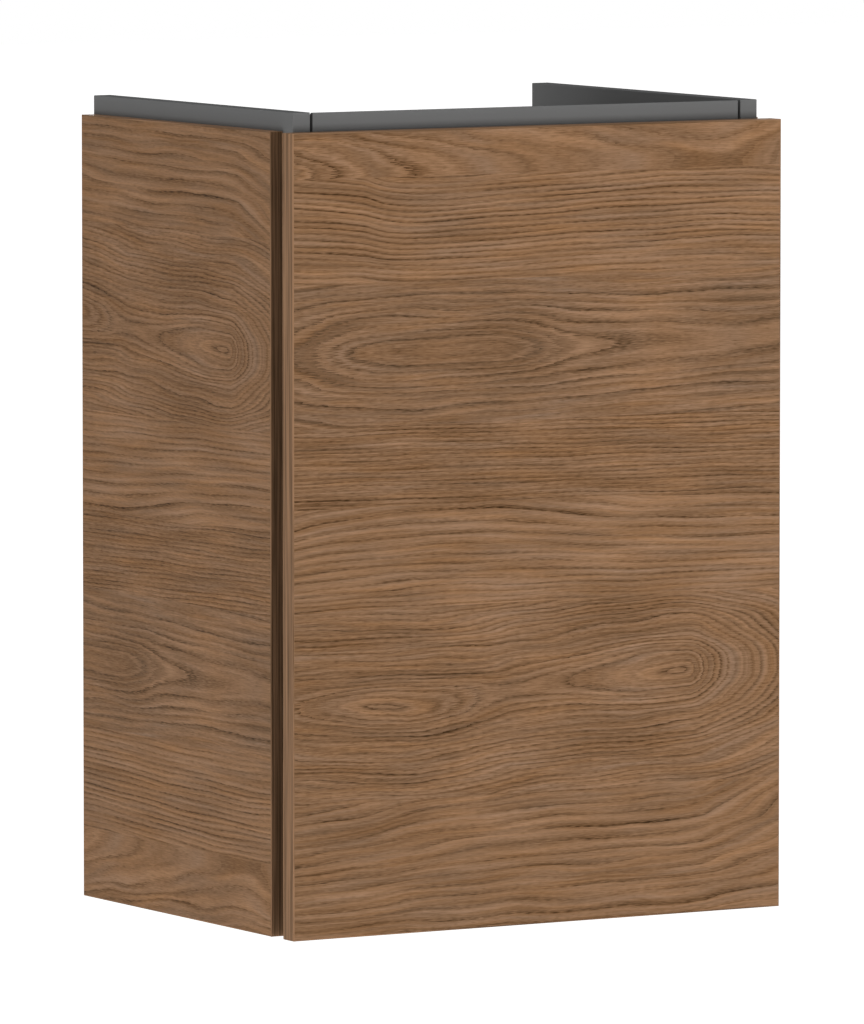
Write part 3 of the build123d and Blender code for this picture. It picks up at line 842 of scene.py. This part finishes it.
def carcassSide(side):
    inner, outer = side * carcass["inner"], side * carcass["outer"]
    piece = block(sorted((inner, outer)), (carcass["front"], 0), (0, carcass["top"]))
    foot = inner + side * carcass["grooveDepth"]
    low = carcass["board"] - carcass["grooveDepth"]
    cutAway(piece, block(sorted((foot, inner - side)), carcass["groove"], (low, carcass["grooveTop"])))
    soften(piece, carcass["arris"], 3)
    name = "left" if side < 0 else "right"
    dress(piece, name + "CarcassSide", "cabinet", [slateBoard, chipboard],
          name + "_carcass_side")
    wear(piece, towardsWall)


rail = {
    "bottom": 554.3, "top": 626.3,
    "bevel": 12.0,                  # falls away behind its top edge, towards the basin
    "endGap": 2.2, "endGapHeight": 22.0,
    "arris": 0.4,
    "camHeight": 588.3,
}
rearBoard = {"bottom": 300.0, "top": 360.0, "camHeight": 342.0}


def frontRail():
    inner, front = carcass["inner"], carcass["front"]
    back = front + carcass["board"]
    piece = block((-inner, inner), (front, back), (rail["bottom"], rail["top"]))
    high, rear = at(0, 0, rail["top"]).z - hair, at(0, back, 0).y - hair
    bevelEdges(piece, lambda a, b: min(a.z, b.z) > high and min(a.y, b.y) > rear, rail["bevel"], 1)
    for side in (-1, 1):
        ends = sorted((side * (inner - rail["endGap"]), side * (inner + 1)))
        heights = (rail["top"] - rail["endGapHeight"], rail["top"] + 1)
        cutAway(piece, block(ends, (front - 1, back + 1), heights),
                camBore(side * carcass["camAt"], back, rail["camHeight"], (0, -1, 0)))
    soften(piece, rail["arris"])
    dress(piece, "frontRail", "cabinet", slateBoard, "front_rail")


def rearRail():
    inner, front = carcass["inner"], -carcass["board"]
    piece = block((-inner, inner), (front, 0), (rearBoard["bottom"], rearBoard["top"]))
    groove = block((-inner - 1, inner + 1), carcass["groove"],
                   (rearBoard["bottom"] - 1, carcass["grooveTop"]))
    cutAway(piece, groove, *[camBore(side * carcass["camAt"], front, rearBoard["camHeight"], (0, 1, 0))
                             for side in (-1, 1)])
    soften(piece, carcass["arris"])
    dress(piece, "rearRail", "cabinet", slateBoard, "rear_rail")


def carcassBottom():
    inner, top = carcass["inner"], carcass["board"]
    piece = block((-inner, inner), (carcass["front"], 0), (0, top))
    groove = block((-inner - 1, inner + 1), carcass["groove"], (top - carcass["grooveDepth"], top + 1))
    cutAway(piece, groove, *[camBore(side * carcass["camAt"], y, 0, (0, 0, 1))
                             for side in (-1, 1) for y in carcass["camsInBottom"]])
    soften(piece, carcass["arris"])
    dress(piece, "carcassBottom", "cabinet", [slateBoard, chipboard], "carcass_bottom")
    wear(piece, towardsWall)


def backPanel():
    piece = boxOf("back_panel")
    soften(piece, 0.3)
    dress(piece, "backPanel", "cabinet", slateBoard, "back_panel")


carcassSide(-1)
carcassSide(1)
frontRail()
rearRail()
carcassBottom()
backPanel()
print("carcass boards made")


# Decor panels and the door

panel = {
    "outer": 217.0, "inner": 206.3, "front": -298.2, "height": 612.0,
    "band": 1.0,
    "round": 0.5,
}
door = {
    "front": -332.0, "back": -316.0,
    "hingeHeights": (90.0, 522.0),
    "cupAt": 192.0, "cupRadius": 17.5, "cupDepth": 12.3,
}


# A strip of edge band with its showing edges rounded
def band(x, y, z, finish, edges):
    strip = block(x, y, z)
    bevelEdges(strip, edges, panel["round"])
    smooth(strip, 50)
    strip.data.materials.append(finish)
    return strip


# Along the lower and the upper end of a panel: the band's two heights and the level of its showing face
def bothEnds():
    thick, tall = panel["band"], panel["height"]
    return [((0, thick), at(0, 0, 0).z), ((tall - thick, tall), at(0, 0, tall).z)]


def cladding(side):
    thick, tall, front = panel["band"], panel["height"], panel["front"]
    x = sorted((side * panel["inner"], side * panel["outer"]))
    name = "left" if side < 0 else "right"
    core = block(x, (front + thick, 0), (thick, tall - thick))
    dress(core, name + "Cladding", "cabinet",
          [walnutLeft if side < 0 else walnutRight, chipboard], name + "_cladding")
    wear(core, towardsWall)
    outer, frontY = side * panel["outer"] * mm, front * mm
    strips = [band(x, (front, front + thick), (0, tall), bandUpright,
                   lambda a, b: near(a.y, frontY) and near(b.y, frontY))]
    for z, level in bothEnds():
        strips.append(band(x, (front + thick, 0), z, bandDeep, lambda a, b: near(a.x, outer)
                           and near(b.x, outer) and near(a.z, level) and near(b.z, level)))
    dress(joined(strips), name + "CladdingBands", "cabinet", None, name + "_cladding_bands")


def doorBoard():
    thick, tall, half = panel["band"], panel["height"], panel["outer"]
    front, back = y = door["front"], door["back"]
    core = block((-half + thick, half - thick), y, (thick, tall - thick))
    cutAway(core, *[rod(door["cupRadius"], (door["cupAt"], back + 1, height),
                        (door["cupAt"], back - door["cupDepth"], height)) for height in door["hingeHeights"]])
    dress(core, "doorBoard", "door", [walnutFront, chipboard], "door_panel")
    # the walls and floors of the cup bores
    wear(core, lambda centre, normal: front * mm + hair < centre.y < back * mm - hair
         and abs(centre.x) < (half - 2 * thick) * mm)
    strips = []
    for side in (-1, 1):
        outer = side * half * mm
        strips.append(band(sorted((side * (half - thick), side * half)), y, (0, tall), bandUpright,
                           lambda a, b: near(a.x, outer) and near(b.x, outer)))
    for z, level in bothEnds():
        strips.append(band((-half + thick, half - thick), y, z, bandAcross,
                           lambda a, b: near(a.z, level) and near(b.z, level) and not near(a.x, b.x)))
    dress(joined(strips), "doorBands", "door", None, "door_edge_bands")


cladding(-1)
cladding(1)
doorBoard()
print("claddings and door made")


# Screws, all countersunk with a cross recess and a rolled thread

screw = {
    "pitch": 1.6,
    "core": 0.8,                # thread's root and its tip, as shares of the radius
    "tip": 0.33,
    "cross": (3.6, 0.8, 0.1),   # recess: length, width and height of its middle
    "sides": 20,
}


# Cuts a cross into the foot of a turned shape
def crossRecess(shape, length, width, height):
    for x, y in ((length, width), (width, length)):
        bpy.ops.object.select_all(action="DESELECT")
        bpy.ops.mesh.primitive_cube_add(size=1, location=(0, 0, height * mm),
                                        scale=(x * mm, y * mm, 2.0 * mm))
        cutAway(shape, settle())
    smooth(shape, 30)


def screwShape(length, radius=1.75, wide=3.4, tall=1.8):
    core = radius * screw["core"]
    rings = [(0, wide - 0.25), (0.2, wide), (tall, radius)]
    for turn in range(int((length - 4) / screw["pitch"])):
        foot = tall + 0.6 + screw["pitch"] * turn
        rings += [(foot, core), (foot + 0.8, radius), (foot + 1.0, radius)]
    rings += [(length - 1.5, core), (length, radius * screw["tip"])]
    shape = turned(rings, screw["sides"])
    crossRecess(shape, *screw["cross"])
    return shape


# One piece from a pattern set at each of its places; the pattern goes
def spread(pattern, spots):
    piece = joined([placed(pattern, point, way) for point, way in spots])
    bpy.data.objects.remove(pattern)
    return piece


def bothSides(spots):
    return spots + [((-x, y, z), (-a, b, c)) for (x, y, z), (a, b, c) in spots]


# Where each head's face is, and the way that the screw points
screwPlaces = {
    "cladding": bothSides([((-191.3, y, z), (-1, 0, 0))
                           for y in (-75.0, -215.0) for z in (60.0, 240.0, 480.0)]),
    "bracket": bothSides([((-189.3, y, 553.0), (-1, 0, 0)) for y in (-22.0, -46.0)]),
    "plate": [((189.3, -276.6, z + s), (1, 0, 0)) for z in door["hingeHeights"] for s in (-16, 16)],
    "cup": [((182.5, -314.8, z + s), (0, -1, 0)) for z in door["hingeHeights"] for s in (-22.5, 22.5)],
    "arm": [((170.0, -272.0, z), (1, 0, 0)) for z in door["hingeHeights"]],
}
# name, places, CAD node, body, slot, finish, and length with radius and head where they differ
for name, places, node, body, slotName, finish, size in (
        ("claddingScrews", "cladding", "cladding_screws", "cabinet", "zinc_steel", zinc, (21,)),
        ("bracketScrews", "bracket", "bracket_screws", "cabinet", "zinc_steel", zinc, (13,)),
        ("hingePlateScrews", "plate", "hinge_plate_screws", "cabinet", "bright_steel", nickel, (13,)),
        ("hingeCupScrews", "cup", "hinge_cup_screws", "door", "bright_steel", nickel, (13,)),
        ("hingeArmScrews", "arm", "hinge_arm_screws", "cabinet", "bright_steel", nickel, (9, 2.5, 4.2))):
    dress(spread(screwShape(*size), screwPlaces[places]), name, body, finish, node)
print("screws made")


# Hinges, brackets and shelf supports

cup = {
    "rings": [(0.0, 16.2), (0.5, 17.0), (1.4, 17.4), (12.2, 17.4), (12.2, 18.3), (12.5, 18.7), (13.1, 18.7),
              (13.4, 18.4), (13.4, 16.5), (12.9, 16.0), (2.2, 16.0), (1.0, 14.8)],
    "sunk": 12.2,                  # foot of the cup behind the door's back
    "wing": (13.0, 56.0, 1.2),     # width, length and thickness
    "wingOffset": 9.5,
    "corner": 4.4,
    "opening": 16.5,               # radius where the wings leave the cup open
    "screwOffset": 22.5,
    "screwHole": 1.8,
    "sink": (1.75, 3.5, 1.8),      # countersink: lower and upper radius, depth
}


def hingeCup(height):
    shell = turned(cup["rings"], 64)
    smooth(shell, 40)
    x, back = door["cupAt"], door["back"]
    bowl = placed(shell, (x, back - cup["sunk"], height), (0, 1, 0))
    bpy.data.objects.remove(shell)
    wide, long, thick = cup["wing"]
    middle, front = x - cup["wingOffset"], back + thick
    wings = block((middle - wide / 2, middle + wide / 2), (back, front),
                  (height - long / 2, height + long / 2))
    bevelEdges(wings, lambda a, b: not near(a.y, b.y), cup["corner"], 6)
    cutAway(wings, rod(cup["opening"], (x, back - 1, height), (x, front + 1, height), sides=64))
    low, high, deep = cup["sink"]
    for z in (height - cup["screwOffset"], height + cup["screwOffset"]):
        cutAway(wings, rod(cup["screwHole"], (middle, back - 2, z), (middle, back + 3, z)),
                rod(low, (middle, front - deep, z), (middle, front + 0.05, z), high))
    soften(wings, 0.2)
    return [bowl, wings]


dress(joined([part for height in door["hingeHeights"] for part in hingeCup(height)]), "hingeCups", "door",
      nickel, "hinge_cups")

# CAD node, name, body, slot, finish, width and segments of the softened arris
for node, name, body, slotName, finish, width, segments in (
        ("hinge_arms", "hingeArms", "cabinet", "bright_steel", nickel, 0.35, 2),
        ("hinge_mounting_plates", "hingePlates", "cabinet", "bright_steel", nickel, 0.4, 2),
        ("hinge_links", "hingeLinks", "links", "bright_steel", nickel, 0.5, 3),
        ("hinge_arm_pins", "hingeArmPins", "cabinet", "bright_steel", nickel, 0.25, 2),
        ("hinge_cup_pins", "hingeCupPins", "door", "bright_steel", nickel, 0.25, 2),
        ("left_hanging_bracket", "leftHangingBracket", "cabinet", "zinc_steel", zinc, 0.4, 3),
        ("right_hanging_bracket", "rightHangingBracket", "cabinet", "zinc_steel", zinc, 0.4, 3),
        ("shelf_supports", "shelfSupports", "cabinet", "bright_steel", nickel, 0.4, 3)):
    dress(softCopy(node, width, segments), name, body, finish, node)
print("hinges, brackets and shelf supports made")


# Glass shelf and small parts

shelf = {
    "corner": 3.0,
    "polish": 0.7,      # bevel of its polished rim
}


def glassShelf():
    pane = boxOf("glass_shelf")
    bevelEdges(pane, lambda a, b: not near(a.z, b.z), shelf["corner"], 8)
    soften(pane, shelf["polish"], 3, 60)
    dress(pane, "glassShelf", "cabinet", shelfGlass, "glass_shelf")


glassShelf()

bumper = {
    "rings": [(0, 4.0), (1.2, 4.0), (1.8, 3.6), (2.1, 2.7), (2.2, 1.2)],
    "x": -198.8,
    "heights": (30.0, 582.0),
}
bumperSpots = [((bumper["x"], door["back"], z), (0, 1, 0)) for z in bumper["heights"]]
bumpers = spread(turned(bumper["rings"], 32), bumperSpots)
smooth(bumpers, 40)
dress(bumpers, "doorBumpers", "door", frostedBumper, "door_bumpers")

cam = {
    "rings": [(0, 7.0), (0.4, 7.4), (12.4, 7.4)],
    "cross": (7.2, 1.6, 0.0),
}


def camHousings():
    shape = turned(cam["rings"])
    crossRecess(shape, *cam["cross"])
    x, board = -carcass["camAt"], carcass["board"]
    spots = [((x, y, 0), (0, 0, 1)) for y in carcass["camsInBottom"]]
    spots += [((x, carcass["front"] + board, rail["camHeight"]), (0, -1, 0)),
              ((x, -board, rearBoard["camHeight"]), (0, 1, 0))]
    dress(spread(shape, bothSides(spots)), "camHousings", "cabinet", zinc, "cam_housings")


camHousings()

# These two stay as they are in the CAD and only get a finish
for name, finish in (("cam_bolts", zinc), ("joint_dowels", beech)):
    materials = nodes[name].data.materials
    if materials:
        for number in range(len(materials)):
            materials[number] = finish
    else:
        materials.append(finish)
print("glass shelf and small parts made")
